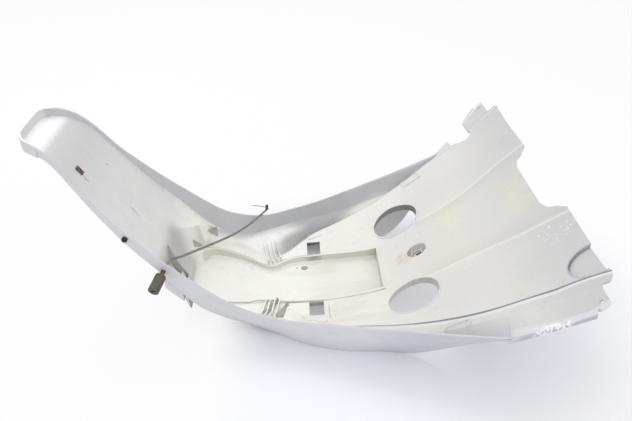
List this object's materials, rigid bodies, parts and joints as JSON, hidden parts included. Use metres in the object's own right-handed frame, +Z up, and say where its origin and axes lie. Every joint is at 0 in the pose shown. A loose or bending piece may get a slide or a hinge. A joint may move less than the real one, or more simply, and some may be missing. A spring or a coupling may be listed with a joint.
{
  "type": "scooter rear fender",
  "caption": "Worn plastic scooter rear fender lying upside down: narrow rising tail, pan with a trough and openings, wide front end; a lock and cable are still attached.",
  "frame": {"origin": "on the floor, at the centre of the box round the part", "axes": "+X towards the wide front end, +Y across towards the broken edge, +Z up; the part lies upside down, so its wheel side faces +Z"},
  "size_m": [0.7519, 0.5864, 0.3199],
  "materials": {
    "painted_moulding": "worn matt overspray",
    "rusty_lock": "rusty",
    "cable_jacket": "dull",
    "dark_crimp": "dull",
    "white_eye": "matt",
    "bare_wire": "dull",
    "rusty_sheet": "rusty",
    "black_rubber": "matt",
    "spring_steel": "dull",
    "rusty_screw": "rusty"
  },
  "bodies": {
    "root": {"fender_shell": "painted_moulding", "lock_barrel": "rusty_lock", "release_cable": "cable_jacket", "cable_collar": "dark_crimp", "cable_eye": "white_eye", "cable_wire": "bare_wire", "speed_nut": "rusty_sheet", "wall_plug": "black_rubber", "bracket_clip": "spring_steel", "bracket_screw": "rusty_screw"}
  },
  "joints": []
}
